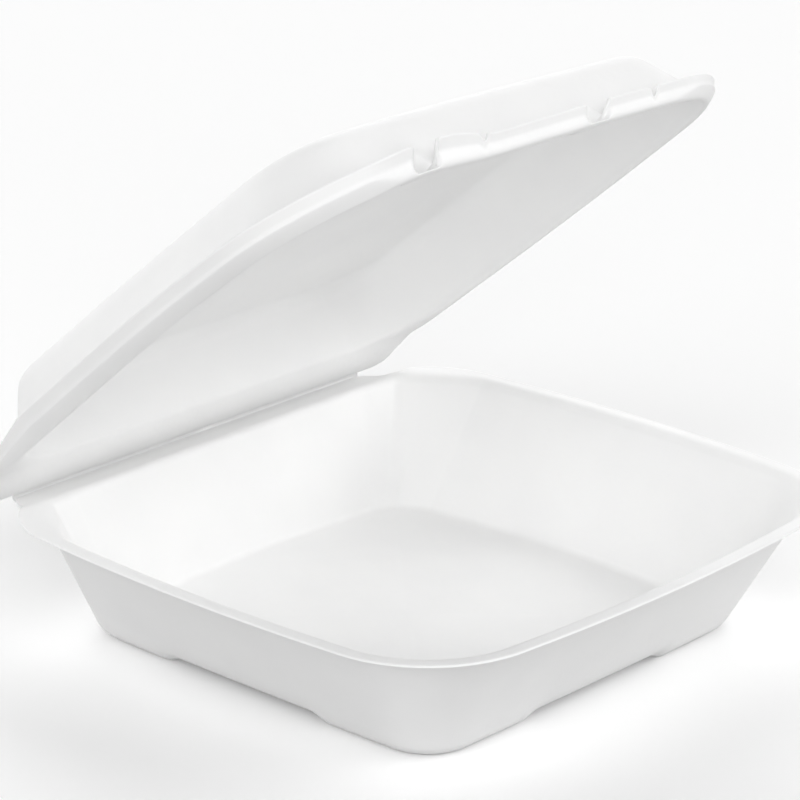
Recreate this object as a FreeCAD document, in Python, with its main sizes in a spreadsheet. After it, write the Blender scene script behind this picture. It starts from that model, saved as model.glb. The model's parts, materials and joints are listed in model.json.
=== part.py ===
import FreeCAD, Part
import enum
import math
import os
import Sketcher

# A hinged square food box, moulded in one sheet: a tray and a domed lid on a creased hinge.
# Millimetres. X runs along the hinge, -Y is the opening side, +Z is up.
# The origin is on the surface that the tray's feet stand on, under the middle of the whole box.
# The lid is drawn shut, resting on the tray, and is then turned open about the crease.

doc = FreeCAD.newDocument("hinged_box")
sheet = doc.addObject("Spreadsheet::Sheet", "Sizes")

SIZES = [
    # the moulded sheet
    ("wall", 2.2, "thickness of the walls, measured level"),
    ("floor_sheet", 2.0, "thickness of the floor and of the lid's top"),
    ("flange_sheet", 1.6, "thickness of the flanges"),
    # the tray's rim and its crease
    ("tray_height", 47.2, "from the table to the top of the tray's flange"),
    ("rim_half_width", 115.4, "middle of the box to the side edge of the rim"),
    ("rim_front", 112.6, "origin to the front edge of the rim"),
    ("crease_reach", 109.1, "origin to the crease of the hinge"),
    ("crease_drop", 4.1, "how far the crease lies below the flange"),
    ("rim_front_corner", 44.0, "corner radius of the rim at the front"),
    ("rim_back_corner", 40.0, "corner radius of the rim beside the hinge"),
    ("rim_sweep", 800.0, "radius of the gentle outward bow of the sides"),
    ("flange_width", 7.0, "width of the flange at the sides and front"),
    ("hinge_flange", 16.0, "width of the flange along the hinge"),
    ("mouth_round", 2.5, "easing where a wall turns into a flange"),
    # the tray's foot
    ("foot_half_width", 82.5, "middle of the box to the side of the heel"),
    ("foot_front", 80.4, "origin to the front of the heel"),
    ("foot_back", 84.6, "origin to the back of the heel"),
    ("foot_corner", 19.0, "corner radius of the heel"),
    ("foot_sweep", 3000.0, "radius of the slight bow of the heel"),
    ("heel_height", 3.5, "height of the rounded heel"),
    ("heel_inset", 3.0, "how far the heel rounds in to the sole"),
    ("foot_rise", 2.2, "lift of the floor between the four feet"),
    ("arch_half_width", 38.0, "half the gap between two feet"),
    # the lid's dome
    ("lid_depth", 28.0, "from the lid's flange to the top of the dome"),
    ("dome_half_width", 94.0, "middle of the box to the side of the shoulder"),
    ("dome_front", 95.4, "origin to the front of the shoulder"),
    ("dome_back", 89.6, "origin to the back of the shoulder"),
    ("dome_corner", 26.0, "corner radius of the shoulder"),
    ("dome_sweep", 1600.0, "radius of the bow of the shoulder"),
    ("shoulder_height", 3.5, "height of the rounded shoulder"),
    ("shoulder_inset", 3.2, "how far the shoulder rounds in to the top"),
    # the lid's upturned lip and its lock cuts
    ("lip_height", 8.0, "from the lid's seat to the brim of the lip"),
    ("lip_inset", 2.6, "how far the root of the lip is inside the rim"),
    ("lip_flare", 2.0, "how far the brim stands outside the rim"),
    ("lip_fade", 30.0, "length over which the lip runs out beside the hinge"),
    ("lock_pitch", 44.0, "middle of the box to the middle of a lock tongue"),
    ("tongue_width", 34.0, "width of a lock tongue"),
    ("lock_notch", 7.0, "width of the cut at one end of a tongue"),
    ("lock_slit", 2.2, "width of the cut at its other end"),
    # how the two halves meet
    ("seat_gap", 0.35, "air between the flanges when the lid is shut"),
    ("crease_gap", 0.3, "distance of each half from the hinge axis"),
    ("lid_open", 39.8, "opening angle of the lid as it stands"),
]

for row, (alias, number, meaning) in enumerate(SIZES, start=1):
    sheet.set(f"A{row}", str(number))
    sheet.setAlias(f"A{row}", alias)
    sheet.set(f"B{row}", meaning)
doc.recompute()


class Amount:
    """A sum of sizes, held both as a number and as an expression on the sheet."""

    def __init__(self, *names):
        self.number = 0.0
        self.text = "0 mm"
        for name in names:
            alias = name.lstrip("-")
            sign = "-" if name.startswith("-") else "+"
            self.number += float(sheet.get(alias)) * (-1 if sign == "-" else 1)
            self.text += f" {sign} Sizes.{alias} * 1 mm"


class Edge(enum.IntEnum):
    """The edges of an outline, in the order in which they are drawn."""

    SIDE_RIGHT = 0
    CORNER_BACK_RIGHT = enum.auto()
    BACK = enum.auto()
    CORNER_BACK_LEFT = enum.auto()
    SIDE_LEFT = enum.auto()
    CORNER_FRONT_LEFT = enum.auto()
    FRONT = enum.auto()
    CORNER_FRONT_RIGHT = enum.auto()


class Point(enum.IntEnum):
    """The points of an edge that a rule can name."""

    START = enum.auto()
    END = enum.auto()
    CENTRE = enum.auto()


def origin():
    """The sketch's own origin, as a rule names it."""
    return -1, Point.START


def outline(label, level, half_width, front, back, front_corner, back_corner, sweep):
    """A level sketch of a rounded square: three bowed sides, a straight back and four corners."""
    width, fore, aft = half_width.number, front.number, back.number
    round_fore, round_aft, bow = front_corner.number, back_corner.number, sweep.number
    middle = (aft - fore) / 2

    # centres of the side arc and the front arc, then of the corners that touch them
    side_x = width - bow
    front_y = bow - fore
    corner_reach = bow - round_fore
    half_x, half_y = -side_x / 2, (front_y - middle) / 2
    half_gap = math.hypot(half_x, half_y)
    out = math.sqrt(corner_reach**2 - half_gap**2) / half_gap
    fore_x = side_x + half_x + out * half_y
    fore_y = middle + half_y - out * half_x
    aft_y = aft - round_aft
    aft_x = side_x + math.sqrt((bow - round_aft) ** 2 - (aft_y - middle) ** 2)

    to_fore = math.atan2(fore_y - middle, fore_x - side_x)
    to_aft = math.atan2(aft_y - middle, aft_x - side_x)
    to_front = math.atan2(fore_y - front_y, fore_x)
    turn = math.pi

    def arc(x, y, radius, first, last):
        circle = Part.Circle(FreeCAD.Vector(x, y, 0), FreeCAD.Vector(0, 0, 1), radius)
        return Part.ArcOfCircle(circle, first, last)

    sketch = doc.addObject("Sketcher::SketchObject", label)
    sketch.addGeometry([
        arc(side_x, middle, bow, to_fore, to_aft),
        arc(aft_x, aft_y, round_aft, to_aft, turn / 2),
        Part.LineSegment(FreeCAD.Vector(aft_x, aft, 0), FreeCAD.Vector(-aft_x, aft, 0)),
        arc(-aft_x, aft_y, round_aft, turn / 2, turn - to_aft),
        arc(-side_x, middle, bow, turn - to_aft, turn - to_fore),
        arc(-fore_x, fore_y, round_fore, turn - to_fore, 2 * turn - (to_front + turn)),
        arc(0, front_y, bow, -turn - to_front, to_front),
        arc(fore_x, fore_y, round_fore, to_front, to_fore),
    ])
    rules = []
    for edge in range(8):
        rules.append(Sketcher.Constraint("Tangent", edge, Point.END, (edge + 1) % 8, Point.START))
    rules.append(Sketcher.Constraint("Horizontal", Edge.BACK))
    sketch.addConstraint(rules)

    def size(name, expression, *rule):
        index = sketch.addConstraint(Sketcher.Constraint(*rule))
        sketch.renameConstraint(index, name)
        sketch.setExpression(f"Constraints.{name}", expression)

    size("bow_right", sweep.text, "Radius", Edge.SIDE_RIGHT, bow)
    size("bow_left", sweep.text, "Radius", Edge.SIDE_LEFT, bow)
    size("bow_front", sweep.text, "Radius", Edge.FRONT, bow)
    size("round_back_right", back_corner.text, "Radius", Edge.CORNER_BACK_RIGHT, round_aft)
    size("round_back_left", back_corner.text, "Radius", Edge.CORNER_BACK_LEFT, round_aft)
    size("round_front_left", front_corner.text, "Radius", Edge.CORNER_FRONT_LEFT, round_fore)
    size("round_front_right", front_corner.text, "Radius", Edge.CORNER_FRONT_RIGHT, round_fore)
    across = f"({sweep.text}) - ({half_width.text})"
    size("right_centre", across, "DistanceX", Edge.SIDE_RIGHT, Point.CENTRE, *origin(), -side_x)
    size("left_centre", across, "DistanceX", *origin(), Edge.SIDE_LEFT, Point.CENTRE, -side_x)
    halfway = f"(({back.text}) - ({front.text})) / 2"
    size("right_middle", halfway, "DistanceY", *origin(), Edge.SIDE_RIGHT, Point.CENTRE, middle)
    size("left_middle", halfway, "DistanceY", *origin(), Edge.SIDE_LEFT, Point.CENTRE, middle)
    size("front_centre", f"({sweep.text}) - ({front.text})", "DistanceY", *origin(), Edge.FRONT, Point.CENTRE, front_y)
    sketch.addConstraint(Sketcher.Constraint("PointOnObject", Edge.FRONT, Point.CENTRE, -2))
    size("back_edge", back.text, "DistanceY", *origin(), Edge.BACK, Point.START, aft)
    sketch.setExpression("Placement.Base.z", level.text)
    return sketch


def rim_outline(label, level, grow=()):
    """The outline of the rim, grown or shrunk all round by a sum of sizes."""
    return outline(
        label, level,
        Amount("rim_half_width", *grow), Amount("rim_front", *grow), Amount("crease_reach", "-crease_gap"),
        Amount("rim_front_corner", *grow), Amount("rim_back_corner", *grow), Amount("rim_sweep", *grow),
    )


def mouth_outline(label, level, grow=()):
    """The outline where the walls meet the flange."""
    at_side = ("-flange_width", *grow)
    return outline(
        label, level,
        Amount("rim_half_width", *at_side), Amount("rim_front", *at_side),
        Amount("crease_reach", "-hinge_flange", *grow),
        Amount("rim_front_corner", *at_side), Amount("rim_back_corner", *at_side), Amount("rim_sweep", *at_side),
    )


def heel_outline(label, level, grow=()):
    """The outline of the tray's heel."""
    return outline(
        label, level,
        Amount("foot_half_width", *grow), Amount("foot_front", *grow), Amount("foot_back", *grow),
        Amount("foot_corner", *grow), Amount("foot_corner", *grow), Amount("foot_sweep", *grow),
    )


def shoulder_outline(label, level, grow=()):
    """The outline of the dome's shoulder."""
    return outline(
        label, level,
        Amount("dome_half_width", *grow), Amount("dome_front", *grow), Amount("dome_back", *grow),
        Amount("dome_corner", *grow), Amount("dome_corner", *grow), Amount("dome_sweep", *grow),
    )


def loft(label, *sections):
    """A solid ruled through level outlines."""
    body = doc.addObject("Part::Loft", label)
    body.Sections = list(sections)
    body.Solid = True
    body.Ruled = True
    return body


def extrude(label, sketch, direction, length, both_ways=False):
    """A solid swept straight from a sketch."""
    body = doc.addObject("Part::Extrusion", label)
    body.Base = sketch
    body.DirMode = "Custom"
    body.Dir = FreeCAD.Vector(*direction)
    body.Solid = True
    body.Symmetric = both_ways
    body.setExpression("LengthFwd", length)
    return body


def join(label, *shapes):
    """One solid from several that overlap or touch."""
    body = doc.addObject("Part::MultiFuse", label)
    body.Shapes = list(shapes)
    return body


def subtract(label, base, *tools):
    """A solid with others taken out of it."""
    tool = tools[0] if len(tools) == 1 else join(label + "_tools", *tools)
    body = doc.addObject("Part::Cut", label)
    body.Base = base
    body.Tool = tool
    return body


def side_profile(label, corners):
    """A closed sketch in the YZ plane, each corner tied to sums of sizes."""
    sketch = doc.addObject("Sketcher::SketchObject", label)
    turned = FreeCAD.Rotation(FreeCAD.Vector(0, 1, 0), FreeCAD.Vector(0, 0, 1), FreeCAD.Vector(1, 0, 0), "ZXY")
    sketch.Placement = FreeCAD.Placement(FreeCAD.Vector(0, 0, 0), turned)
    points = [FreeCAD.Vector(y.number, z.number, 0) for y, z in corners]
    count = len(points)
    for index in range(count):
        sketch.addGeometry(Part.LineSegment(points[index], points[(index + 1) % count]))
    for index in range(count):
        sketch.addConstraint(Sketcher.Constraint("Coincident", index, Point.END, (index + 1) % count, Point.START))
    for index, (y, z) in enumerate(corners):
        for rule, amount in (("DistanceX", y), ("DistanceY", z)):
            number = sketch.addConstraint(Sketcher.Constraint(rule, *origin(), index, Point.START, amount.number))
            name = f"{'along' if rule == 'DistanceX' else 'up'}_{index}"
            sketch.renameConstraint(number, name)
            sketch.setExpression(f"Constraints.{name}", amount.text)
    return sketch


def box(label, low, length):
    """A block tied to the sheet: its low corner and its three lengths are sums of sizes or expressions."""
    block = doc.addObject("Part::Box", label)
    for axis, text in zip("xyz", low):
        block.setExpression(f"Placement.Base.{axis}", text)
    for side, text in zip(("Length", "Width", "Height"), length):
        block.setExpression(side, text)
    return block


ACROSS = "Sizes.rim_half_width * 1 mm"
WIDE = f"2 * ({ACROSS} + Sizes.lip_height * 1 mm)"


def flange_plate(label, rise, plan):
    """A flange sheet that is flat round the rim and dips to the crease along the hinge."""
    bottom, top = rise
    fore = ("-rim_front", "-flange_width")
    dip = ("crease_reach", "-hinge_flange")
    profile = side_profile(label + "_profile", [
        (Amount(*fore), Amount(*bottom)),
        (Amount(*dip), Amount(*bottom)),
        (Amount("crease_reach"), Amount(*bottom, "-crease_drop")),
        (Amount("crease_reach"), Amount(*top, "-crease_drop")),
        (Amount(*dip), Amount(*top)),
        (Amount(*fore), Amount(*top)),
    ])
    slab = extrude(label + "_slab", profile, (1, 0, 0), WIDE, both_ways=True)
    prism = extrude(label + "_prism", plan, (0, 0, 1), "2 * Sizes.tray_height * 1 mm")
    plate = doc.addObject("Part::Common", label)
    plate.Base = slab
    plate.Tool = prism
    return plate


def arches(label, low, high, shrink):
    """The raised cross between the four feet, as two crossing blocks."""
    half = f"(Sizes.arch_half_width - {shrink}) * 1 mm"
    span = "3 * Sizes.foot_half_width * 1 mm"
    middle = "(Sizes.foot_back - Sizes.foot_front) / 2 * 1 mm"
    rise = f"({high}) - ({low})"
    return (
        box(label + "_fore_and_aft", (f"-({half})", f"{middle} - ({span}) / 2", low), (f"2 * {half}", span, rise)),
        box(label + "_side_to_side", (f"-({span}) / 2", f"{middle} - ({half})", low), (span, f"2 * {half}", rise)),
    )


# the tray: flange plate and walls joined, then hollowed
GROUND = Amount()
TRAY_TOP = ("tray_height",)
tray_plate = flange_plate("tray_flange", (("tray_height", "-flange_sheet"), TRAY_TOP),
                          rim_outline("tray_rim_plan", GROUND))
tray_outside = loft(
    "tray_outside",
    heel_outline("sole_outline", GROUND, ("-heel_inset",)),
    heel_outline("heel_outline", Amount("heel_height")),
    mouth_outline("wall_top_outline", Amount("tray_height", "-flange_sheet"), ("wall", "-mouth_round")),
)
tray_hollow_blank = loft(
    "tray_hollow_blank",
    heel_outline("floor_outline", Amount("floor_sheet"), ("-heel_inset", "-wall")),
    heel_outline("floor_edge_outline", Amount("floor_sheet", "heel_height"), ("-wall",)),
    mouth_outline("throat_outline", Amount("tray_height", "-flange_sheet", "-mouth_round"), ("-mouth_round",)),
    mouth_outline("mouth_outline", Amount("tray_height")),
)
sole = "Sizes.foot_rise * 1 mm"
under_arches = arches("under_arch", "-1 mm", sole, "0")
floor_level = "Sizes.floor_sheet * 1 mm"
floor_arches = arches("floor_arch", "0 mm", f"{floor_level} + {sole}", "(-Sizes.wall)")
tray_hollow = subtract("tray_hollow", tray_hollow_blank, *floor_arches)
tray_solid = join("tray_solid", tray_plate, tray_outside)
base_tray = subtract("base_tray", tray_solid, tray_hollow, *under_arches)
base_tray.Label = "base_tray"

# the lid, drawn shut: flange plate, upturned lip and dome joined, then hollowed and cut for the locks
SEAT = ("tray_height", "seat_gap")
lid_plate = flange_plate("lid_flange", (SEAT, (*SEAT, "flange_sheet")),
                         rim_outline("lid_rim_plan", GROUND, ("-lip_inset",)))
lip_outside = loft(
    "lip_outside",
    rim_outline("lip_root", Amount(*SEAT), ("-lip_inset",)),
    rim_outline("lip_brim", Amount(*SEAT, "lip_height"), ("lip_flare",)),
)
lip_inside = loft(
    "lip_inside",
    rim_outline("lip_root_inside", Amount(*SEAT), ("-lip_inset", "-wall")),
    rim_outline("lip_brim_inside", Amount(*SEAT, "lip_height"), ("lip_flare", "-wall")),
)
fade_end = ("crease_reach", "-hinge_flange")
lip_fade = extrude("lip_fade", side_profile("lip_fade_profile", [
    (Amount(*fade_end, "-lip_fade"), Amount(*SEAT, "lip_height")),
    (Amount(*fade_end), Amount(*SEAT)),
    (Amount(*fade_end), Amount(*SEAT, "-lip_height")),
    (Amount(*fade_end, "lip_fade"), Amount(*SEAT, "-lip_height")),
    (Amount(*fade_end, "lip_fade"), Amount(*SEAT, "lip_height", "lip_height")),
    (Amount(*fade_end, "-lip_fade"), Amount(*SEAT, "lip_height", "lip_height")),
]), (1, 0, 0), WIDE, both_ways=True)
lip = subtract("lip", lip_outside, lip_inside, lip_fade)

dome_outside = loft(
    "dome_outside",
    mouth_outline("dome_root", Amount(*SEAT), ("wall",)),
    shoulder_outline("shoulder", Amount(*SEAT, "lid_depth", "-shoulder_height")),
    shoulder_outline("top", Amount(*SEAT, "lid_depth"), ("-shoulder_inset",)),
)
dome_inside = loft(
    "dome_inside",
    mouth_outline("dome_mouth", Amount(*SEAT)),
    mouth_outline("dome_throat", Amount(*SEAT, "flange_sheet", "mouth_round"), ("-mouth_round",)),
    shoulder_outline("shoulder_inside", Amount(*SEAT, "lid_depth", "-shoulder_height", "-floor_sheet"), ("-wall",)),
    shoulder_outline("top_inside", Amount(*SEAT, "lid_depth", "-floor_sheet"), ("-shoulder_inset", "-wall")),
)


def lock_cut(label, end, width):
    """A cut through the lip at one end of a lock tongue."""
    clear = "(Sizes.rim_front - Sizes.lip_inset - Sizes.wall - Sizes.flange_sheet) * 1 mm"
    return box(
        label,
        (f"({end} - Sizes.{width} / 2) * 1 mm", f"-({clear}) - 2 * Sizes.flange_width * 1 mm",
         "(Sizes.tray_height + Sizes.seat_gap + Sizes.flange_sheet) * 1 mm"),
        (f"Sizes.{width} * 1 mm", "2 * Sizes.flange_width * 1 mm", "2 * Sizes.lip_height * 1 mm"),
    )


locks = []
for name, side in (("left", "-1"), ("right", "1")):
    middle_of_tongue = f"{side} * Sizes.lock_pitch"
    locks.append(lock_cut(f"notch_{name}", f"{middle_of_tongue} - Sizes.tongue_width / 2", "lock_notch"))
    locks.append(lock_cut(f"slit_{name}", f"{middle_of_tongue} + Sizes.tongue_width / 2", "lock_slit"))

lid_solid = join("lid_solid", lid_plate, lip, dome_outside)
lid = subtract("lid_half", lid_solid, dome_inside, *locks)
lid.Label = "lid"

# the lid turned open about the crease
crease_level = "(Sizes.tray_height - Sizes.crease_drop + Sizes.seat_gap / 2)"
lid.Placement = FreeCAD.Placement(FreeCAD.Vector(), FreeCAD.Rotation(FreeCAD.Vector(-1, 0, 0), 30))
lid.setExpression("Placement.Rotation.Angle", "Sizes.lid_open * 1 deg")
cosine, sine = "cos(Sizes.lid_open * 1 deg)", "sin(Sizes.lid_open * 1 deg)"
lid.setExpression(
    "Placement.Base.y",
    f"(Sizes.crease_reach * (1 - {cosine}) - {crease_level} * {sine}) * 1 mm")
lid.setExpression(
    "Placement.Base.z",
    f"({crease_level} * (1 - {cosine}) + Sizes.crease_reach * {sine}) * 1 mm")

doc.recompute()
for thing in doc.Objects:
    for fault in ("Invalid", "Error"):
        if fault in thing.State:
            raise RuntimeError(f"{thing.Name} failed to build: {thing.State}")

os.makedirs("parts", exist_ok=True)
for piece in (base_tray, lid):
    shape = piece.Shape
    if shape.isNull() or not shape.isValid() or len(shape.Solids) != 1:
        raise RuntimeError(f"{piece.Label} isn't one valid solid")
    bounds = shape.BoundBox
    print(f"{piece.Label}: {shape.Volume:.1f} mm3, x {bounds.XMin:.2f} {bounds.XMax:.2f}, "
          f"y {bounds.YMin:.2f} {bounds.YMax:.2f}, z {bounds.ZMin:.2f} {bounds.ZMax:.2f}")
    shape.exportStep(f"parts/{piece.Label}.step")
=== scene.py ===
"""Looks of a hinged, moulded foam food container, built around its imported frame.

Metres throughout. X runs along the hinge, -Y is the opening side and +Z is up.
"""

import json
import logging
import math
from dataclasses import dataclass, field, replace
from enum import Enum
from functools import lru_cache

import bmesh
import bpy
from mathutils import Matrix, Vector

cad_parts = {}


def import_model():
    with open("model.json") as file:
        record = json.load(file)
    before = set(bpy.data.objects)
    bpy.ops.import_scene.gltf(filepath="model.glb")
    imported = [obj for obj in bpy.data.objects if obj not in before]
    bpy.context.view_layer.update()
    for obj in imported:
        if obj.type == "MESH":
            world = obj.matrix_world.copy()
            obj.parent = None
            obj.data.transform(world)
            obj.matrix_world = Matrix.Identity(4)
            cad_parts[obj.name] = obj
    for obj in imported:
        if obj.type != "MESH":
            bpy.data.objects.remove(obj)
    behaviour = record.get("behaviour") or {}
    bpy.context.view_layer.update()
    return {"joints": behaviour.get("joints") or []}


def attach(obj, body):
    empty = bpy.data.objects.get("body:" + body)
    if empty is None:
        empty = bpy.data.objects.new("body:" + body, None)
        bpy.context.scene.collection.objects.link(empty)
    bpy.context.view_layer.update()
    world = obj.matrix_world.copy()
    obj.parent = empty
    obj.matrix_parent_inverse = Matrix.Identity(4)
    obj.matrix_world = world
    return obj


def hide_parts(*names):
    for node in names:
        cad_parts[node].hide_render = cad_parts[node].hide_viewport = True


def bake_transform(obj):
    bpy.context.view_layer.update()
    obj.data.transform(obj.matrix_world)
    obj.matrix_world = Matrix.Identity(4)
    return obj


LOG = logging.getLogger("food_container")

MM = 0.001
PICTURE_WIDTH = 800


def mix(first: float, second: float, share: float) -> float:
    """Returns the value that lies a share of the way from first to second."""
    return first + (second - first) * share


def smooth_step(value: float, low: float, high: float) -> float:
    """Returns 0 below low and 1 above high, with an S curve between them."""
    share = min(1.0, max(0.0, (value - low) / (high - low)))
    return share * share * (3.0 - 2.0 * share)


class Outline(float, Enum):
    """The three outlines between which the section of a half is drawn."""

    END = 0.0
    MOUTH = 1.0
    RIM = 2.0


class Lamp(Enum):
    """The soft studio lamps, named by where they hang."""

    LEFT_LOW = "left_low"
    LEFT_HIGH = "left_high"
    LEFT_SIDE = "left_side"
    RIGHT_FRONT = "right_front"
    RIGHT_BACK = "right_back"
    BACK_LOW = "back_low"


@dataclass(frozen=True)
class Ramp:
    """A smooth rise from 0 to 1.

    Attributes:
        low: Where it begins.
        high: Where it has ended.
    """

    low: float
    high: float

    def at(self, value: float) -> float:
        """Returns how far the rise has come at a value."""
        return smooth_step(value, self.low, self.high)


@dataclass(frozen=True)
class Swell:
    """A rounded swell of the sheet along one direction.

    Attributes:
        middle: Where it is highest.
        reach: How far it spreads to each side.
        height: How high it is.
    """

    middle: float
    reach: float
    height: float

    def at(self, value: float) -> float:
        """Returns how high it is at a value."""
        return self.height * math.exp(-(((value - self.middle) / self.reach) ** 2))


@dataclass(frozen=True)
class Crease:
    """The fold line behind both rims, to which the two flanges dip.

    Attributes:
        along: Its Y.
        depth: How far the flanges have dipped there.
        dip: Where a flange dips, along Y.
    """

    along: float = 108.8 * MM
    depth: float = 4.1 * MM
    dip: Ramp = Ramp(90.5 * MM, 105.0 * MM)

    def drop(self, along: float) -> float:
        """Returns how far a flange has dipped at a Y."""
        return self.depth * self.dip.at(along)


CREASE = Crease()


@dataclass(frozen=True)
class Arc:
    """A part of a level circle.

    Attributes:
        centre_x: X of the circle's centre.
        centre_y: Y of the circle's centre.
        radius: Its radius.
        first: Angle at which the arc starts.
        last: Angle at which it ends.
    """

    centre_x: float
    centre_y: float
    radius: float
    first: float
    last: float

    def at(self, share: float) -> Vector:
        """Returns the place a share of the way along the arc."""
        angle = mix(self.first, self.last, share)
        x = self.centre_x + self.radius * math.cos(angle)
        return Vector((x, self.centre_y + self.radius * math.sin(angle), 0.0))


@dataclass(frozen=True)
class Plan:
    """A rounded square seen from above: bowed sides and front, a straight back.

    Attributes:
        half_width: Middle of the box to the side.
        front: Origin to the front edge, along -Y.
        back: Origin to the back edge, along +Y.
        front_corner: Radius of the front corners.
        back_corner: Radius of the corners beside the hinge.
        sweep: Radius of the outward bow of the sides and the front.
        fixed_back: True where the back edge stays put as the plan grows.
        fold: Where the sheet folds inside the back corner, as a share of its arc.
    """

    half_width: float
    front: float
    back: float
    front_corner: float
    back_corner: float
    sweep: float
    fixed_back: bool = False
    fold: float = 0.5

    @lru_cache(maxsize=512)
    def grown(self, by: float) -> "Plan":
        """Returns the plan moved outwards all round."""
        return replace(
            self,
            half_width=self.half_width + by,
            front=self.front + by,
            back=self.back if self.fixed_back else self.back + by,
            front_corner=self.front_corner + by,
            back_corner=self.back_corner + by,
            sweep=self.sweep + by,
        )

    @property
    def middle(self) -> float:
        """The Y of the plan's middle."""
        return (self.back - self.front) / 2.0

    @lru_cache(maxsize=512)
    def arcs(self) -> tuple[Arc, Arc, Arc, Arc]:
        """Finds the arcs of the right half of the outline.

        The corner arcs touch the bows of the front and the side from within.

        Returns:
            The front's bow, the front corner, the side's bow and the back corner.
        """
        bow = self.sweep
        side_x = self.half_width - bow
        front_y = bow - self.front
        reach = bow - self.front_corner
        half_x, half_y = -side_x / 2.0, (front_y - self.middle) / 2.0
        half_gap = math.hypot(half_x, half_y)
        out = math.sqrt(reach**2 - half_gap**2) / half_gap
        fore_x = side_x + half_x + out * half_y
        fore_y = self.middle + half_y - out * half_x
        aft_y = self.back - self.back_corner
        aft_x = side_x + math.sqrt((bow - self.back_corner) ** 2 - (aft_y - self.middle) ** 2)

        to_front = math.atan2(fore_y - front_y, fore_x)
        to_fore = math.atan2(fore_y - self.middle, fore_x - side_x)
        to_aft = math.atan2(aft_y - self.middle, aft_x - side_x)
        quarter = math.pi / 2.0
        return (
            Arc(0.0, front_y, bow, -quarter, to_front),
            Arc(fore_x, fore_y, self.front_corner, to_front, to_fore),
            Arc(side_x, self.middle, bow, to_fore, to_aft),
            Arc(aft_x, aft_y, self.back_corner, to_aft, quarter),
        )

    def point(self, station: float, crisp: float = 0.0) -> Vector:
        """Finds a place on the right half of the outline.

        Args:
            station: 0 is the middle of the front, 1 and 2 the ends of the front
                corner, 3 and 4 the ends of the back corner, 5 the middle of the back.
            crisp: How sharply the back corner is folded, 0 is a plain arc.

        Returns:
            The place, level with the origin.
        """
        arcs = self.arcs()
        leg = min(int(station), len(arcs))
        share = station - leg
        if leg == len(arcs):
            return Vector((arcs[-1].centre_x * (1.0 - share), self.back, 0.0))
        arc = arcs[leg]
        place = arc.at(share)
        if arc is arcs[-1] and crisp > 0.0:
            low, high = (0.0, self.fold) if share < self.fold else (self.fold, 1.0)
            straight = arc.at(low).lerp(arc.at(high), (share - low) / (high - low))
            place = place.lerp(straight, crisp)
        return place


@dataclass(frozen=True)
class HingedPlan(Plan):
    """A rim whose back carries a strip out to the crease.

    Attributes:
        crease: The strip's far edge, along Y.
        strip_half: Middle of the box to where the strip begins to round off.
        strip_ease: Length over which it turns into the corner.
        strip_from: Station behind which the strip lies.
    """

    crease: float = CREASE.along
    strip_half: float = 85.0 * MM
    strip_ease: float = 10.0 * MM
    strip_from: float = 3.0

    def point(self, station: float, crisp: float = 0.0) -> Vector:
        """Finds a place on the right half of the outline, the strip included.

        Args:
            station: Place along the outline, as for the plain plan.
            crisp: How sharply the back corner is folded.

        Returns:
            The place, level with the origin.
        """
        place = super().point(station, crisp)
        if station > self.strip_from:
            strip_end = self.strip_half + self.strip_ease
            share = 1.0 - smooth_step(place.x, self.strip_half, strip_end)
            place.y = mix(place.y, self.crease, share)
        return place


@dataclass(frozen=True)
class Knot:
    """One bend in the section of a moulded sheet.

    Attributes:
        plan: Which outline it lies on, with the share to the next as its fraction.
        grow: Distance outside that outline.
        rise: Height.
        ease: Length over which the bend is rounded.
        shrink: Scale about the outline's middle, for the rings of a flat end.
        flat_grow: Distance outside the outline where the lip has run out.
        flat_rise: Height where the lip has run out.
        crisp: How sharply it is folded in the back corners.
        roll_grow: Further growth where the lip is rolled under, at the sides.
        roll_rise: Further height there.
    """

    plan: float
    grow: float
    rise: float
    ease: float = 0.0
    shrink: float = 1.0
    flat_grow: float | None = None
    flat_rise: float | None = None
    crisp: float = 0.0
    roll_grow: float = 0.0
    roll_rise: float = 0.0

    @property
    def low_grow(self) -> float:
        """The growth with the lip run out."""
        return self.grow if self.flat_grow is None else self.flat_grow

    @property
    def low_rise(self) -> float:
        """The height with the lip run out."""
        return self.rise if self.flat_rise is None else self.flat_rise

    def toward(self, other: "Knot", share: float) -> "Knot":
        """Returns the knot a share of the way to another."""
        return Knot(
            plan=mix(self.plan, other.plan, share),
            grow=mix(self.grow, other.grow, share),
            rise=mix(self.rise, other.rise, share),
            shrink=mix(self.shrink, other.shrink, share),
            flat_grow=mix(self.low_grow, other.low_grow, share),
            flat_rise=mix(self.low_rise, other.low_rise, share),
            crisp=mix(self.crisp, other.crisp, share),
            roll_grow=mix(self.roll_grow, other.roll_grow, share),
            roll_rise=mix(self.roll_rise, other.roll_rise, share),
        )


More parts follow.
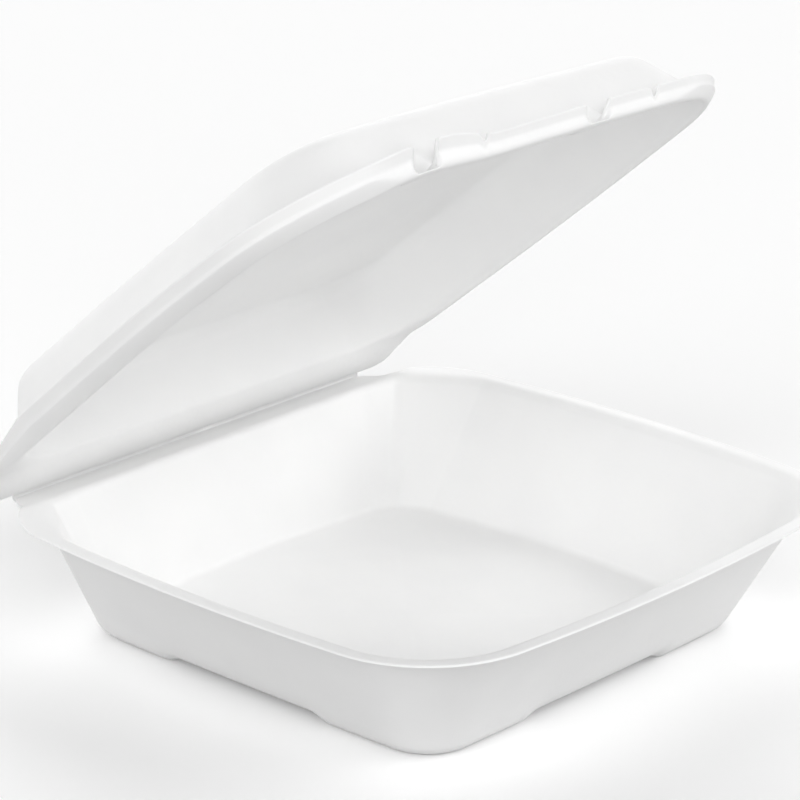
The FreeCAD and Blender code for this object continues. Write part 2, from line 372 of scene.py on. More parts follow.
@dataclass
class MouldedSheet:
    """A closed sheet lofted round a section of knots, one outline at each.

    Attributes:
        name: Name of the piece.
        plans: The three outlines, from the flat end to the rim.
        knots: The section, from the middle of one face round to the other.
        legs: How many steps each leg of the half outline takes.
        longest: Longest step along the section.
        rounding: Steps round an eased bend.
        ease_limit: Largest share of a run that an eased bend takes up.
        weld: Distance below which vertices are merged.
    """

    name: str
    plans: tuple[Plan, Plan, Plan]
    knots: list[Knot]
    legs: tuple[int, int, int, int, int] = (68, 22, 46, 30, 36)
    longest: float = 4.0 * MM
    rounding: int = 6
    ease_limit: float = 0.48
    weld: float = 0.002 * MM

    def across(self, knot: Knot) -> float:
        """Finds how far a knot lies from the middle of the box, at the side.

        Args:
            knot: The knot.

        Returns:
            The distance along X.
        """
        low = min(int(knot.plan), 1)
        share = knot.plan - low
        width = mix(self.plans[low].half_width, self.plans[low + 1].half_width, share)
        return (width + knot.grow) * knot.shrink

    def distance(self, first: Knot, second: Knot) -> float:
        """Returns the length of the section between two knots."""
        return math.hypot(self.across(first) - self.across(second), first.rise - second.rise)

    def rounded(self, before: Knot, here: Knot, after: Knot) -> list[Knot]:
        """Rounds one bend of the section.

        Args:
            before: The knot ahead of the bend.
            here: The knot of the bend.
            after: The knot behind it.

        Returns:
            The knots of the rounded bend, or the sharp one alone.
        """
        if here.ease <= 0.0:
            return [here]
        to_before = min(self.ease_limit, here.ease / self.distance(here, before))
        to_after = min(self.ease_limit, here.ease / self.distance(here, after))
        first = here.toward(before, to_before)
        last = here.toward(after, to_after)
        shares = [step / self.rounding for step in range(self.rounding + 1)]
        return [
            first.toward(here, share).toward(here.toward(last, share), share) for share in shares
        ]

    def section(self) -> list[Knot]:
        """Rounds the bends of the section and steps along its straight runs.

        Returns:
            The knots of every ring of the mesh, in order.
        """
        eased = [self.knots[0]]
        for before, here, after in zip(self.knots, self.knots[1:], self.knots[2:]):
            eased.extend(self.rounded(before, here, after))
        eased.append(self.knots[-1])
        rings = [eased[0]]
        for first, last in zip(eased, eased[1:]):
            steps = max(1, math.ceil(self.distance(first, last) / self.longest))
            rings.extend(first.toward(last, (step + 1) / steps) for step in range(steps))
        return rings

    def stations(self) -> list[float]:
        """Returns the stations all round, those of the left half below zero."""
        marks = [leg + step / steps for leg, steps in enumerate(self.legs) for step in range(steps)]
        return [*marks, float(len(self.legs)), *(-mark for mark in reversed(marks[1:]))]

    def outline_point(
        self, plan: float, grow: float, station: float, crisp: float = 0.0
    ) -> Vector:
        """Finds a place between two of the outlines.

        Args:
            plan: Which outline, with the share to the next as its fraction.
            grow: Distance outside it.
            station: Place along the outline, below zero on the left.
            crisp: How sharply the back corners are folded.

        Returns:
            The place, level with the origin.
        """
        low = min(int(plan), 1)
        first = self.plans[low].grown(grow).point(abs(station), crisp)
        second = self.plans[low + 1].grown(grow).point(abs(station), crisp)
        place = first.lerp(second, plan - low)
        place.x = math.copysign(place.x, station)
        return place

    def lip_share(self, point: Vector) -> float:
        """Returns how much of the lip stands at a place: 1 is all of it."""
        return 1.0

    def roll_share(self, station: float) -> float:
        """Returns how far the lip is rolled under at a station."""
        return 0.0

    def place(self, knot: Knot, station: float) -> Vector:
        """Finds where a vertex lies.

        Args:
            knot: The knot of its ring.
            station: Its station along the outline.

        Returns:
            Its place.
        """
        roll = self.roll_share(station)
        grow = knot.grow + roll * knot.roll_grow
        point = self.outline_point(knot.plan, grow, station, knot.crisp)
        rise = knot.rise + roll * knot.roll_rise
        if knot.flat_grow is not None:
            share = self.lip_share(point)
            point = self.outline_point(knot.plan, knot.low_grow, station).lerp(point, share)
            rise = mix(knot.low_rise, rise, share)
        middle = mix(self.plans[0].middle, self.plans[1].middle, min(1.0, knot.plan))
        return Vector((point.x * knot.shrink, mix(middle, point.y, knot.shrink), rise))

    def loft(self) -> bmesh.types.BMesh:
        """Extrudes the outline through every ring.

        The vertices past the widest ring are marked in the layer "inner".

        Returns:
            The closed sheet.
        """
        mesh = bmesh.new()
        marker = mesh.verts.layers.int.new("station")
        inner = mesh.verts.layers.int.new("inner")
        stations = self.stations()
        rings = self.section()
        widest = max(range(len(rings)), key=lambda index: self.across(rings[index]))
        chain = []
        for index, station in enumerate(stations):
            vertex = mesh.verts.new(self.place(rings[0], station))
            vertex[marker] = index
            chain.append(vertex)
        edges = [mesh.edges.new(pair) for pair in zip(chain, [*chain[1:], chain[0]])]
        for number, ring in enumerate(rings[1:], start=1):
            made = bmesh.ops.extrude_edge_only(mesh, edges=edges)["geom"]
            fresh = {item for item in made if isinstance(item, bmesh.types.BMVert)}
            for vertex in fresh:
                vertex.co = self.place(ring, stations[vertex[marker]])
                vertex[inner] = int(number > widest)
            edges = [
                item for item in made
                if isinstance(item, bmesh.types.BMEdge) and all(end in fresh for end in item.verts)
            ]
        mesh.verts.layers.int.remove(marker)
        bmesh.ops.remove_doubles(mesh, verts=mesh.verts[:], dist=self.weld)
        bmesh.ops.recalc_face_normals(mesh, faces=mesh.faces[:])
        return mesh


def finish_piece(
    mesh: bmesh.types.BMesh, name: str, material: bpy.types.Material
) -> bpy.types.Object:
    """Turns a mesh under construction into a smooth shaded piece.

    Args:
        mesh: The mesh, which is freed.
        name: Name of the piece.
        material: Its finish.

    Returns:
        The piece, at the origin.
    """
    for face in mesh.faces:
        face.smooth = True
    data = bpy.data.meshes.new(name)
    mesh.to_mesh(data)
    mesh.free()
    data.materials.append(material)
    piece = bpy.data.objects.new(name, data)
    bpy.context.scene.collection.objects.link(piece)
    return piece


@dataclass(frozen=True)
class MouldedFoam:
    """Soft white moulded foam with a fine, faintly felted skin.

    Attributes:
        name: Name of the material.
        colour: Its colour, linear.
        shade: Its slightly greyer patches.
        patch_scale: How many patches there are to a metre.
        patch_detail: How broken up the patches are.
        patch_roughness: How rough their edges are.
        patch_range: Noise levels at which a patch is wholly grey and wholly white.
        grain: How many grains of the felt there are to a metre.
        grain_detail: How broken up the grains are.
        bump_strength: How much of the felt's relief shows.
        bump_height: How high the felt's relief is.
        roughness: How matt the skin is, from its smoothest to its roughest grain.
        gloss: Level of its shine.
    """

    name: str = "moulded_foam"
    colour: tuple[float, float, float] = (0.93, 0.93, 0.927)
    shade: tuple[float, float, float] = (0.905, 0.905, 0.905)
    patch_scale: float = 26.0
    patch_detail: float = 2.0
    patch_roughness: float = 0.55
    patch_range: tuple[float, float] = (0.28, 0.62)
    grain: float = 420.0
    grain_detail: float = 1.5
    bump_strength: float = 0.22
    bump_height: float = 0.25 * MM
    roughness: tuple[float, float] = (0.56, 0.70)
    gloss: float = 0.35

    def material(self) -> bpy.types.Material:
        """Builds the material.

        Returns:
            The material.
        """
        made = bpy.data.materials.new(self.name)
        made.use_nodes = True
        nodes, links = made.node_tree.nodes, made.node_tree.links
        shader = nodes["Principled BSDF"]
        place = nodes.new("ShaderNodeTexCoord")

        patches = nodes.new("ShaderNodeTexNoise")
        patches.inputs["Scale"].default_value = self.patch_scale
        patches.inputs["Detail"].default_value = self.patch_detail
        patches.inputs["Roughness"].default_value = self.patch_roughness
        links.new(place.outputs["Object"], patches.inputs["Vector"])
        colours = nodes.new("ShaderNodeValToRGB")
        stops = zip(colours.color_ramp.elements, self.patch_range, (self.shade, self.colour))
        for stop, position, colour in stops:
            stop.position = position
            stop.color = (*colour, 1.0)
        links.new(patches.outputs["Fac"], colours.inputs["Fac"])
        links.new(colours.outputs["Color"], shader.inputs["Base Color"])

        felt = nodes.new("ShaderNodeTexNoise")
        felt.inputs["Scale"].default_value = self.grain
        felt.inputs["Detail"].default_value = self.grain_detail
        links.new(place.outputs["Object"], felt.inputs["Vector"])
        bump = nodes.new("ShaderNodeBump")
        bump.inputs["Strength"].default_value = self.bump_strength
        bump.inputs["Distance"].default_value = self.bump_height
        links.new(felt.outputs["Fac"], bump.inputs["Height"])
        links.new(bump.outputs["Normal"], shader.inputs["Normal"])

        dullness = nodes.new("ShaderNodeMapRange")
        dullness.inputs["To Min"].default_value = self.roughness[0]
        dullness.inputs["To Max"].default_value = self.roughness[1]
        links.new(felt.outputs["Fac"], dullness.inputs["Value"])
        links.new(dullness.outputs["Result"], shader.inputs["Roughness"])
        shader.inputs["Specular IOR Level"].default_value = self.gloss
        return made


@dataclass
class Tray:
    """The lower half: four corner feet, sloping walls and a flange that dips to the crease.

    Attributes:
        heel: Outline of the heel.
        mouth: Outline where the walls meet the flange.
        rim: Outline of the rim.
        height: Table to the top of the flange.
        wall: Thickness of the walls, measured level.
        floor_sheet: Thickness of the floor.
        flange_sheet: Thickness of the flange.
        heel_height: Height of the rounded heel.
        heel_inset: Its width.
        foot_rise: Lift of the floor between the feet.
        foot_fade: Height above which the feet no longer shape the sheet.
        arch_half_widths: Half the gap between two feet, at the front and at a side.
        side_arch_middle: The Y of the middle of a side's gap.
        arch_edge: Half the length over which a foot's side rises.
        arch_soft: The same for the inside of the floor, which hardly shows the feet.
        flange_share: Share of the height above which the sheet dips to the crease.
        name: Name of the piece.
    """

    heel: Plan = Plan(82.5 * MM, 80.4 * MM, 84.6 * MM, 19.0 * MM, 19.0 * MM, 3000.0 * MM)
    mouth: Plan = Plan(
        108.4 * MM, 105.6 * MM, 93.1 * MM, 37.0 * MM, 33.0 * MM, 793.0 * MM, fold=0.7
    )
    rim: Plan = HingedPlan(
        115.4 * MM, 112.6 * MM, 101.0 * MM, 44.0 * MM, 36.0 * MM, 800.0 * MM, fixed_back=True
    )
    height: float = 47.2 * MM
    wall: float = 2.2 * MM
    floor_sheet: float = 2.0 * MM
    flange_sheet: float = 1.6 * MM
    heel_height: float = 3.5 * MM
    heel_inset: float = 3.0 * MM
    foot_rise: float = 2.2 * MM
    foot_fade: float = 9.1 * MM
    arch_half_widths: tuple[float, float] = (34.0 * MM, 35.0 * MM)
    side_arch_middle: float = 4.5 * MM
    arch_edge: float = 3.0 * MM
    arch_soft: float = 34.0 * MM
    flange_share: float = 0.8
    name: str = "tray_shell"

    def knots(self) -> list[Knot]:
        """Lists the section of the tray.

        Returns:
            The bends from the sole's middle round the rim to the floor's middle.
        """
        under = self.height - self.flange_sheet
        inside = -self.wall
        floor_inset = inside - 7.0 * MM
        heel_top = self.heel_height - 0.4 * MM
        floor_top = self.floor_sheet + 0.5 * MM
        return [
            # The sole, the heel and the outside of the wall.
            Knot(Outline.END, -self.heel_inset, 0.0, shrink=0.0),
            Knot(Outline.END, -self.heel_inset - 0.6 * MM, 0.0, ease=2.0 * MM),
            Knot(Outline.END, 0.2 * MM, heel_top, ease=2.2 * MM),
            Knot(Outline.MOUTH, self.wall - 2.5 * MM, under, ease=2.6 * MM),
            # The tapered edge of the rim.
            Knot(Outline.RIM, -1.2 * MM, under + 0.3 * MM, ease=1.0 * MM),
            Knot(Outline.RIM, 0.0, self.height - 0.75 * MM, ease=0.4 * MM),
            Knot(Outline.RIM, -0.5 * MM, self.height, ease=0.5 * MM),
            # The inside of the wall and the floor.
            Knot(Outline.MOUTH, 0.2 * MM, self.height, ease=3.4 * MM, crisp=0.8),
            Knot(Outline.END, inside - 0.6 * MM, floor_top, ease=2.2 * MM, crisp=1.0),
            Knot(Outline.END, floor_inset, self.floor_sheet, ease=2.5 * MM, crisp=0.8),
            Knot(Outline.END, floor_inset, self.floor_sheet, shrink=0.0),
        ]

    def arch(self, point: Vector, soft: float) -> float:
        """Finds how far the floor is lifted at a place.

        Args:
            point: The place.
            soft: Half the length over which a foot's side rises.

        Returns:
            0 over a foot, and 1 in the gap between two.
        """
        front, side = self.arch_half_widths
        across = 1.0 - smooth_step(abs(point.x), front - soft, front + soft)
        off_middle = abs(point.y - self.side_arch_middle)
        along = 1.0 - smooth_step(off_middle, side - soft, side + soft)
        return max(across, along)

    def shape(self, mesh: bmesh.types.BMesh) -> None:
        """Lifts the floor between the feet and dips the flange to the crease.

        Args:
            mesh: The lofted tray.
        """
        inner = mesh.verts.layers.int["inner"]
        for vertex in mesh.verts:
            point = vertex.co
            low = 1.0 - smooth_step(point.z, 0.0, self.foot_fade)
            if low > 0.0:
                soft = self.arch_soft if vertex[inner] else self.arch_edge
                point.z += self.foot_rise * self.arch(point, soft) * low
            if point.z > self.flange_share * self.height:
                point.z -= CREASE.drop(point.y)

    def build(self, finish: bpy.types.Material) -> bpy.types.Object:
        """Builds the tray.

        Args:
            finish: The foam.

        Returns:
            The piece.
        """
        sheet = MouldedSheet(self.name, (self.heel, self.mouth, self.rim), self.knots())
        mesh = sheet.loft()
        self.shape(mesh)
        piece = finish_piece(mesh, self.name, finish)
        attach(piece, "tray")
        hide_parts("base_tray")
        return piece


@dataclass(frozen=True)
class LockCut:
    """A cut in the front lip that frees a locking tongue.

    Attributes:
        middle: Its middle, along X.
        half_width: Half its width.
        share: How much of the lip's height it takes.
    """

    middle: float
    half_width: float
    share: float

    def inside(self, across: float, within: float, beyond: float) -> float:
        """Finds how far inside the cut a place lies.

        Args:
            across: The place's X.
            within: Distance inside the cut's side at which it is wholly inside.
            beyond: Distance outside the side at which it is wholly outside.

        Returns:
            1 inside, 0 outside, with an S curve across the side.
        """
        low, high = self.half_width - within, self.half_width + beyond
        return 1.0 - smooth_step(abs(across - self.middle), low, high)


@dataclass
class LipSheet(MouldedSheet):
    """The lid's sheet, whose lip runs out beside the hinge and at the lock cuts.

    Attributes:
        fade_start: Where the lip begins to run out, along Y.
        fade_end: Where it has run out.
        cuts: The cuts in the front lip.
        cut_ease: Half the length over which a cut's side falls.
        front_zone: The cuts are in front of this Y.
        slack: Share of its height that the right half of the front lip has lost.
        slack_across: Where the slack sets in, along X.
        slack_along: Where it sets in, along -Y.
        roll_in: Stations over which the lip rolls under, behind the front corner.
        roll_out: Stations over which it rolls up again, ahead of the back corner.
    """

    fade_start: float = 0.0
    fade_end: float = 1.0
    cuts: tuple[LockCut, ...] = ()
    cut_ease: float = 0.7 * MM
    front_zone: float = -90.0 * MM
    slack: float = 0.34
    slack_across: Ramp = Ramp(-46.0 * MM, -22.0 * MM)
    slack_along: Ramp = Ramp(30.0 * MM, 90.0 * MM)
    roll_in: Ramp = Ramp(0.9, 1.15)
    roll_out: Ramp = Ramp(3.3, 3.8)

    def lip_share(self, point: Vector) -> float:
        """Finds how much of the lip stands at a place.

        Args:
            point: The place.

        Returns:
            1 where all of it stands, and 0 where it has run out or is cut away.
        """
        fade = (self.fade_end - point.y) / (self.fade_end - self.fade_start)
        share = min(1.0, max(0.0, fade))
        share *= 1.0 - self.slack * self.slack_across.at(point.x) * self.slack_along.at(-point.y)
        if point.y < self.front_zone:
            for cut in self.cuts:
                share *= 1.0 - cut.share * cut.inside(point.x, self.cut_ease, self.cut_ease)
        return share

    def roll_share(self, station: float) -> float:
        """Returns how far the lip is rolled under at a station: wholly at the sides."""
        along = abs(station)
        return self.roll_in.at(along) * (1.0 - self.roll_out.at(along))


@dataclass
class Lid:
    """The upper half: a shallow dome, a flange and an upturned, flared lip.

    It is drawn shut on the tray and then turned open about the crease.

    Attributes:
        shoulder: Outline of the dome's shoulder.
        mouth: Outline where the dome meets the flange.
        rim: Outline of the rim.
        seat: Height of the flange's under face when shut.
        depth: Flange to the top of the dome.
        wall: Thickness of the dome's wall, measured level.
        top_sheet: Thickness of the dome's top.
        flange_sheet: Thickness of the flange.
        shoulder_height: Height of the rounded shoulder.
        shoulder_inset: Its width.
        lip_start: Where the lip begins to run out towards the hinge, along Y.
        lip_end: Where it has run out.
        locks: The cuts in the front lip: two holes, then two slits.
        front_zone: The locks are in front of this Y.
        pocket_depth: How far the sheet is pressed in behind a hole.
        pocket_side: How far a pocket's side lies within and beyond the hole's.
        pocket_foot: Heights over which a pocket begins.
        pocket_head: Heights over which it ends.
        warp_along: Where the warp of the lid sets in, along -Y.
        lock_swell: The swell of the lip at the left hole, along X.
        dome_foot: Height at which the dome begins to twist.
        twist: How far the dome's right front has sunk.
        twist_across: Where the twist sets in, along X.
        rim_bulge: How the left side of the rim is bent outwards, along Y.
        rim_side: Where that bend sets in, along -X.
        hinge_clear: What the flange gives way beside the crease.
        clear_along: Where it gives way, along Y.
        longest: Longest step of the mesh along the section.
        name: Name of the piece.
    """

    shoulder: Plan = Plan(94.0 * MM, 95.4 * MM, 89.6 * MM, 26.0 * MM, 26.0 * MM, 1600.0 * MM)
    mouth: Plan = Plan(108.4 * MM, 105.6 * MM, 93.1 * MM, 37.0 * MM, 33.0 * MM, 793.0 * MM)
    rim: Plan = HingedPlan(
        115.4 * MM, 112.6 * MM, 104.0 * MM, 44.0 * MM, 25.0 * MM, 800.0 * MM,
        fixed_back=True, strip_half=93.0 * MM, strip_ease=7.0 * MM,
    )
    seat: float = 47.55 * MM
    depth: float = 28.0 * MM
    wall: float = 2.2 * MM
    top_sheet: float = 2.0 * MM
    flange_sheet: float = 1.6 * MM
    shoulder_height: float = 3.5 * MM
    shoulder_inset: float = 3.2 * MM
    lip_start: float = 52.0 * MM
    lip_end: float = 103.0 * MM
    locks: tuple[LockCut, ...] = (
        LockCut(-56.0 * MM, 4.9 * MM, 1.0),
        LockCut(24.0 * MM, 5.2 * MM, 1.0),
        LockCut(-31.0 * MM, 1.3 * MM, 0.4),
        LockCut(54.5 * MM, 1.4 * MM, 0.6),
    )
    front_zone: float = -90.0 * MM
    pocket_depth: float = 5.5 * MM
    pocket_side: tuple[float, float] = (1.2 * MM, 0.4 * MM)
    pocket_foot: Ramp = Ramp(0.4 * MM, 1.6 * MM)
    pocket_head: Ramp = Ramp(6.4 * MM, 8.6 * MM)
    warp_along: Ramp = Ramp(20.0 * MM, 110.0 * MM)
    lock_swell: Swell = Swell(-56.0 * MM, 20.0 * MM, 1.6 * MM)
    dome_foot: float = 8.0 * MM
    twist: float = 2.6 * MM
    twist_across: Ramp = Ramp(-70.0 * MM, 90.0 * MM)
    rim_bulge: Swell = Swell(-40.0 * MM, 50.0 * MM, 3.0 * MM)
    rim_side: Ramp = Ramp(96.0 * MM, 110.0 * MM)
    hinge_clear: float = 0.35 * MM
    clear_along: Ramp = Ramp(84.0 * MM, 96.0 * MM)
    longest: float = 2.2 * MM
    name: str = "lid_shell"

    @staticmethod
    def lip(
        grow: float, rise: float, flat_grow: float, flat_rise: float, ease: float,
        roll_grow: float = 0.0, roll_rise: float = 0.0,
    ) -> Knot:
        """Makes a bend of the lip, in millimetres.

        Args:
            grow: Distance outside the rim.
            rise: Height above the flange's under face.
            flat_grow: Distance outside the rim where the lip has run out.
            flat_rise: Height where the lip has run out.
            ease: Length over which the bend is rounded.
            roll_grow: Further growth where the lip is rolled under.
            roll_rise: Further height there.

        Returns:
            The bend.
        """
        return Knot(
            Outline.RIM, grow * MM, rise * MM, ease * MM,
            flat_grow=flat_grow * MM, flat_rise=flat_rise * MM,
            roll_grow=roll_grow * MM, roll_rise=roll_rise * MM,
        )

    def knots(self) -> list[Knot]:
        """Lists the section of the lid.

        Returns:
            The bends from the dome's inner middle round the lip to its outer middle.
        """
        inner_inset = -self.shoulder_inset - self.wall
        inner_top = self.depth - self.top_sheet
        inner_side = inner_top - self.shoulder_height + 0.4 * MM
        outer_inset = -self.shoulder_inset - 0.6 * MM
        outer_side = self.depth - self.shoulder_height + 0.3 * MM
        sheet = self.flange_sheet
        return [
            # The inside of the dome, down to the flange's under face.
            Knot(Outline.END, inner_inset, inner_top, shrink=0.0),
            Knot(Outline.END, inner_inset - 0.8 * MM, inner_top, ease=2.2 * MM),
            Knot(Outline.END, -self.wall + 0.2 * MM, inner_side, ease=2.4 * MM),
            Knot(Outline.MOUTH, -0.4 * MM, 0.0, ease=4.0 * MM),
            # The lip's outer face, up to its edge.
            self.lip(-3.2, 0.0, -3.3, 0.0, 0.9, roll_grow=-2.0),
            self.lip(-1.9, 1.3, -2.7, 0.6, 1.1, roll_grow=2.0, roll_rise=2.2),
            self.lip(-1.5, 5.0, -2.6, 0.9, 1.1, roll_grow=1.7, roll_rise=0.1),
            self.lip(1.9, 8.1, -2.7, 1.2, 0.7, roll_grow=0.2),
            self.lip(1.8, 8.8, -2.9, 1.5, 0.4),
            # The lip's inner face, down to the gutter along the dome.
            self.lip(0.6, 8.9, -3.2, 1.6, 0.5),
            self.lip(-2.7, 6.2, -3.6, 1.6, 1.0, roll_grow=1.2),
            self.lip(-3.5, 4.6, -4.0, 1.6, 0.9, roll_grow=1.4),
            self.lip(-4.6, 2.9, -4.5, 1.6, 0.7, roll_grow=0.6),
            Knot(
                Outline.MOUTH, self.wall - 1.0 * MM, sheet + 1.1 * MM, ease=0.7 * MM,
                flat_grow=self.wall - 0.5 * MM, flat_rise=sheet,
            ),
            # The outside of the dome.
            Knot(Outline.END, -0.1 * MM, outer_side, ease=2.6 * MM),
            Knot(Outline.END, outer_inset, self.depth, ease=2.4 * MM),
            Knot(Outline.END, outer_inset, self.depth, shrink=0.0),
        ]

    def warp(self, point: Vector) -> float:
        """Finds how far the sheet stands above its true shape.

        The front of the lid is a little twisted, with a swell at the left hole.

        Args:
            point: A place on the shut lid, above the flange's under face.

        Returns:
            The height, below zero where the sheet has sunk.
        """
        up_dome = smooth_step(point.z, self.dome_foot, self.depth)
        swell = self.lock_swell.at(point.x) * (1.0 - up_dome)
        sunk = self.twist * self.twist_across.at(point.x) * up_dome
        return self.warp_along.at(-point.y) * (swell - sunk)

    def bulge(self, point: Vector) -> float:
        """Returns how far the left side of the rim is bent outwards at a place."""
        return self.rim_bulge.at(point.y) * self.rim_side.at(-point.x)

    def pocket(self, point: Vector) -> float:
        """Finds how far the sheet is pressed in behind the holes.

        Args:
            point: A place on the shut lid, above the flange's under face.

        Returns:
            The distance along Y.
        """
        if point.y >= self.front_zone:
            return 0.0
        height = self.pocket_foot.at(point.z) * (1.0 - self.pocket_head.at(point.z))
        holes = (lock for lock in self.locks if lock.share >= 1.0)
        across = max(hole.inside(point.x, *self.pocket_side) for hole in holes)
        return self.pocket_depth * across * height

    def shape(self, mesh: bmesh.types.BMesh) -> None:
        """Presses the lock pockets in, dips the flange to the crease and seats the lid.

        Args:
            mesh: The lofted lid.
        """
        for vertex in mesh.verts:
            point = vertex.co
            point.x -= self.bulge(point)
            point.y += self.pocket(point)
            clear = self.hinge_clear * self.clear_along.at(point.y)
            point.z += self.seat + self.warp(point) + clear - CREASE.drop(point.y)

    def build(self, finish: bpy.types.Material, opened: Matrix) -> bpy.types.Object:
        """Builds the lid.

        Args:
            finish: The foam.
            opened: The turn from shut to the pose in which it stands.

        Returns:
            The piece.
        """
        sheet = LipSheet(
            self.name, (self.shoulder, self.mouth, self.rim), self.knots(),
            longest=self.longest, fade_start=self.lip_start, fade_end=self.lip_end,
            cuts=self.locks, front_zone=self.front_zone,
        )
        mesh = sheet.loft()
        self.shape(mesh)
        bmesh.ops.transform(mesh, matrix=opened, verts=mesh.verts[:])
        piece = finish_piece(mesh, self.name, finish)
        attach(piece, "lid")
        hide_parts("lid")
        return piece


@dataclass
class CreaseWeb:
    """The thin web of the same sheet that joins the two halves along the crease.

    Attributes:
        half_length: Middle of the box to the end of the web.
        inner: Distance of its inner face from the hinge axis.
        outer: Distance of its outer face.
        edge_angle: Angle of each half's edge, seen from the axis, when shut.
        turn_steps: Steps of the mesh round the axis.
        length_steps: Steps of the mesh along it.
        name: Name of the piece.
    """

    half_length: float = 86.0 * MM
    inner: float = 0.35 * MM
    outer: float = 1.8 * MM
    edge_angle: float = math.radians(99.6)
    turn_steps: int = 12
    length_steps: int = 24
    name: str = "crease_web"

    @staticmethod
    def spoke(angle: float) -> Vector:
        """Returns the unit vector from the axis at an angle."""
        return Vector((0.0, math.cos(angle), math.sin(angle)))

    def build(
        self, finish: bpy.types.Material, axis_at: Vector, open_angle: float
    ) -> bpy.types.Object:
        """Builds the web.

        Args:
            finish: The foam.
            axis_at: A place on the hinge axis.
            open_angle: How far the lid stands open.

        Returns:
            The piece.
        """
        mesh = bmesh.new()
        end_angle = self.edge_angle - open_angle
        start, end = self.spoke(-self.edge_angle), self.spoke(end_angle)
        origin = Vector((-self.half_length, axis_at.y, axis_at.z))
        ends = [mesh.verts.new(origin + start * away) for away in (self.inner, self.outer)]
        edge = mesh.edges.new(ends)
        bmesh.ops.spin(
            mesh, geom=[*ends, edge], cent=origin, axis=(1.0, 0.0, 0.0),
            angle=self.edge_angle + end_angle, steps=self.turn_steps, use_duplicate=False,
        )
        section = mesh.faces[:]
        step = (2.0 * self.half_length / self.length_steps, 0.0, 0.0)
        for _ in range(self.length_steps):
            made = bmesh.ops.extrude_face_region(mesh, geom=section)["geom"]
            section = [item for item in made if isinstance(item, bmesh.types.BMFace)]
            moved = [item for item in made if isinstance(item, bmesh.types.BMVert)]
            bmesh.ops.translate(mesh, vec=step, verts=moved)
        bmesh.ops.recalc_face_normals(mesh, faces=mesh.faces[:])
        piece = finish_piece(mesh, self.name, finish)
        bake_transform(piece)
        return piece


@dataclass(frozen=True)
class SoftLamp:
    """A broad, distant, soft light.

    Attributes:
        azimuth: Where it hangs, in degrees from the front towards the right.
        elevation: Its height angle in degrees.
        strength: Its strength.
    """

    azimuth: float
    elevation: float
    strength: float


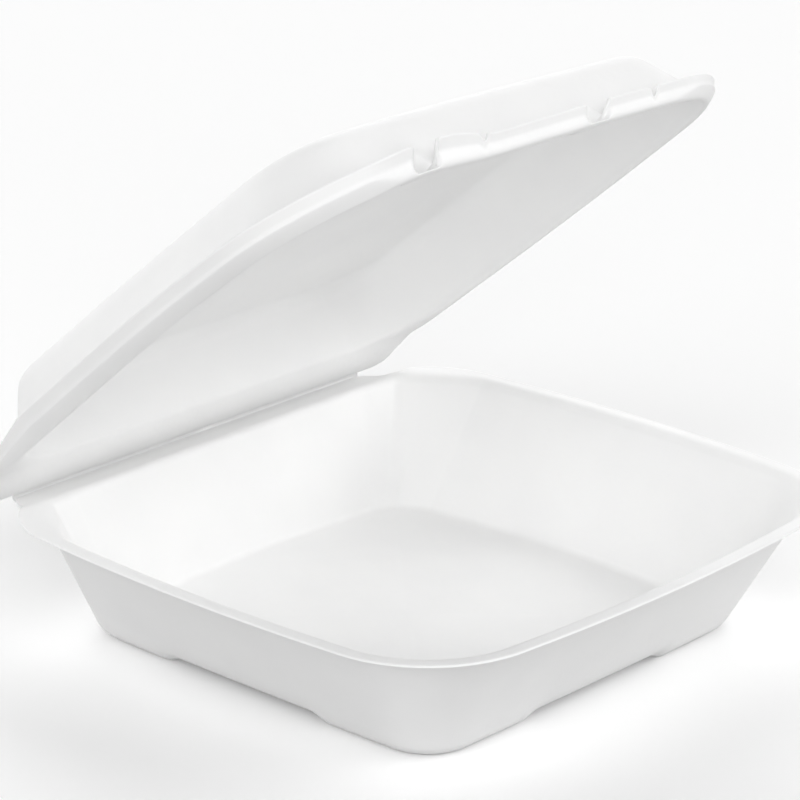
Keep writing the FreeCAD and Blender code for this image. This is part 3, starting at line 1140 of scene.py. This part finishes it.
@dataclass
class Studio:
    """A plain pale floor, soft distant lamps and the camera.

    Attributes:
        floor_half: Half the side of the floor.
        azimuth: Direction of the camera, from the front towards the right.
        elevation: Its height angle.
        roll: Its roll.
        distance: Camera to the place it looks at.
        target: The place it looks at.
        focal_pixels: Focal length in pixels of the picture.
        sensor_width: Width of the camera's sensor, in millimetres.
        clip_end: How far the camera sees.
        world_light: Strength of the even light from all round.
        floor_bounce: Colour of the floor as it lights the container.
        floor_glow: What is added to the floor where it is seen, to make it white.
        white: Level at which the floor and the world are seen.
        floor_roughness: How matt the floor is.
        lamp_spread: How broad each lamp is, in degrees.
        lamps: Where each lamp hangs and its strength.
    """

    floor_half: float = 6.0
    azimuth: float = math.radians(-47.597)
    elevation: float = math.radians(20.049)
    roll: float = math.radians(0.325)
    distance: float = 1.29775
    target: Vector = field(default_factory=lambda: Vector((-6.74, 3.1, 84.31)) * MM)
    focal_pixels: float = 3858.94
    sensor_width: float = 36.0
    clip_end: float = 50.0
    world_light: float = 0.14
    floor_bounce: float = 0.66
    floor_glow: float = 0.105
    white: float = 0.97
    floor_roughness: float = 0.9
    lamp_spread: float = 40.0
    lamps: dict[Lamp, SoftLamp] = field(default_factory=lambda: {
        Lamp.LEFT_LOW: SoftLamp(-45.0, 8.0, 0.88),
        Lamp.LEFT_HIGH: SoftLamp(-45.0, 42.0, 0.96),
        Lamp.LEFT_SIDE: SoftLamp(-90.0, 25.0, 0.62),
        Lamp.RIGHT_FRONT: SoftLamp(45.0, 25.0, 1.34),
        Lamp.RIGHT_BACK: SoftLamp(135.0, 25.0, 1.3),
        Lamp.BACK_LOW: SoftLamp(180.0, 8.0, 1.35),
    })

    @staticmethod
    def direction(azimuth: float, elevation: float) -> Vector:
        """Returns the unit vector from the object towards a viewing angle."""
        level = math.cos(elevation)
        return Vector((math.sin(azimuth) * level, -math.cos(azimuth) * level, math.sin(elevation)))

    def set_camera(self) -> None:
        """Puts the camera at the picture's viewing angle."""
        back = self.direction(self.azimuth, self.elevation)
        level = Vector((math.cos(self.azimuth), math.sin(self.azimuth), 0.0))
        right = Matrix.Rotation(self.roll, 3, back) @ level
        camera = bpy.data.objects.new("camera", bpy.data.cameras.new("camera"))
        bpy.context.scene.collection.objects.link(camera)
        turn = Matrix((right, back.cross(right), back)).transposed().to_4x4()
        camera.matrix_world = Matrix.Translation(self.target + back * self.distance) @ turn
        camera.data.sensor_width = self.sensor_width
        camera.data.lens = self.focal_pixels * self.sensor_width / PICTURE_WIDTH
        camera.data.clip_end = self.clip_end
        bpy.context.scene.camera = camera

    @staticmethod
    def seen(tree: bpy.types.NodeTree) -> bpy.types.NodeSocket:
        """Tells the rays that show the background from those that light the object.

        Args:
            tree: The tree of the floor's paint or of the world.

        Returns:
            A socket that is 1 for rays seen straight, in a gloss or through glass.
        """
        path = tree.nodes.new("ShaderNodeLightPath")
        share = path.outputs["Is Camera Ray"]
        for kind in ("Is Glossy Ray", "Is Transmission Ray"):
            either = tree.nodes.new("ShaderNodeMath")
            either.operation = "MAXIMUM"
            tree.links.new(share, either.inputs[0])
            tree.links.new(path.outputs[kind], either.inputs[1])
            share = either.outputs["Value"]
        return share

    def whitened(
        self, tree: bpy.types.NodeTree, seen: bpy.types.NodeSocket, level: float
    ) -> bpy.types.NodeSocket:
        """Makes a value that is white where it is seen.

        Args:
            tree: The tree of the floor's paint or of the world.
            seen: The socket that tells the rays apart.
            level: The value for the rays that light the object.

        Returns:
            The socket with the value.
        """
        tone = tree.nodes.new("ShaderNodeMapRange")
        tone.inputs["To Min"].default_value = level
        tone.inputs["To Max"].default_value = self.white
        tree.links.new(seen, tone.inputs["Value"])
        return tone.outputs["Result"]

    def hang_lamps(self) -> None:
        """Hangs the soft lamps."""
        for lamp, soft in self.lamps.items():
            light = bpy.data.lights.new(lamp.value, "SUN")
            light.energy = soft.strength
            light.angle = math.radians(self.lamp_spread)
            hung = bpy.data.objects.new(lamp.value, light)
            bpy.context.scene.collection.objects.link(hung)
            toward = self.direction(math.radians(soft.azimuth), math.radians(soft.elevation))
            hung.rotation_euler = toward.to_track_quat("Z", "Y").to_euler()

    def light_world(self) -> None:
        """Lights the world evenly and shows it white."""
        world = bpy.data.worlds.new("studio")
        world.use_nodes = True
        tree = world.node_tree
        background = tree.nodes["Background"]
        background.inputs["Color"].default_value = (1.0, 1.0, 1.0, 1.0)
        strength = self.whitened(tree, self.seen(tree), self.world_light)
        tree.links.new(strength, background.inputs["Strength"])
        bpy.context.scene.world = world

    def floor_paint(self) -> bpy.types.Material:
        """Mixes the floor's paint, which is seen white and keeps its shadows.

        Returns:
            The material.
        """
        paint = bpy.data.materials.new("floor_paint")
        paint.use_nodes = True
        tree = paint.node_tree
        shader = tree.nodes["Principled BSDF"]
        seen = self.seen(tree)
        tone = self.whitened(tree, seen, self.floor_bounce)
        tree.links.new(tone, shader.inputs["Base Color"])
        glow = tree.nodes.new("ShaderNodeMath")
        glow.operation = "MULTIPLY"
        glow.inputs[1].default_value = self.floor_glow
        tree.links.new(seen, glow.inputs[0])
        tree.links.new(glow.outputs["Value"], shader.inputs["Emission Strength"])
        shader.inputs["Emission Color"].default_value = (1.0, 1.0, 1.0, 1.0)
        shader.inputs["Roughness"].default_value = self.floor_roughness
        shader.inputs["Specular IOR Level"].default_value = 0.0
        return paint

    def lay_floor(self) -> None:
        """Lays the pale floor under the container."""
        mesh = bmesh.new()
        bmesh.ops.create_grid(mesh, x_segments=1, y_segments=1, size=self.floor_half)
        data = bpy.data.meshes.new("floor")
        mesh.to_mesh(data)
        mesh.free()
        floor = bpy.data.objects.new("floor", data)
        bpy.context.scene.collection.objects.link(floor)
        data.materials.append(self.floor_paint())

    def build(self) -> None:
        """Builds the whole studio."""
        self.set_camera()
        self.hang_lamps()
        self.light_world()
        self.lay_floor()
        bpy.context.scene.view_settings.view_transform = "Standard"


def main() -> None:
    """Builds every piece in order and reports each."""
    logging.basicConfig(level=logging.INFO, format="%(message)s")
    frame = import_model()
    hinge = frame["joints"][0]
    axis_at = Vector(hinge["pos_m"])
    open_angle = -math.radians(hinge["range_deg"][0])
    turn = Matrix.Rotation(open_angle, 4, Vector(hinge["axis"]))
    opened = Matrix.Translation(axis_at) @ turn @ Matrix.Translation(-axis_at)

    Studio().build()
    foam = MouldedFoam().material()
    pieces = [
        Tray().build(foam),
        Lid().build(foam, opened),
        CreaseWeb().build(foam, axis_at, open_angle),
    ]
    for piece in pieces:
        LOG.info("%s: %d faces", piece.name, len(piece.data.polygons))


if __name__ == "__main__":
    main()
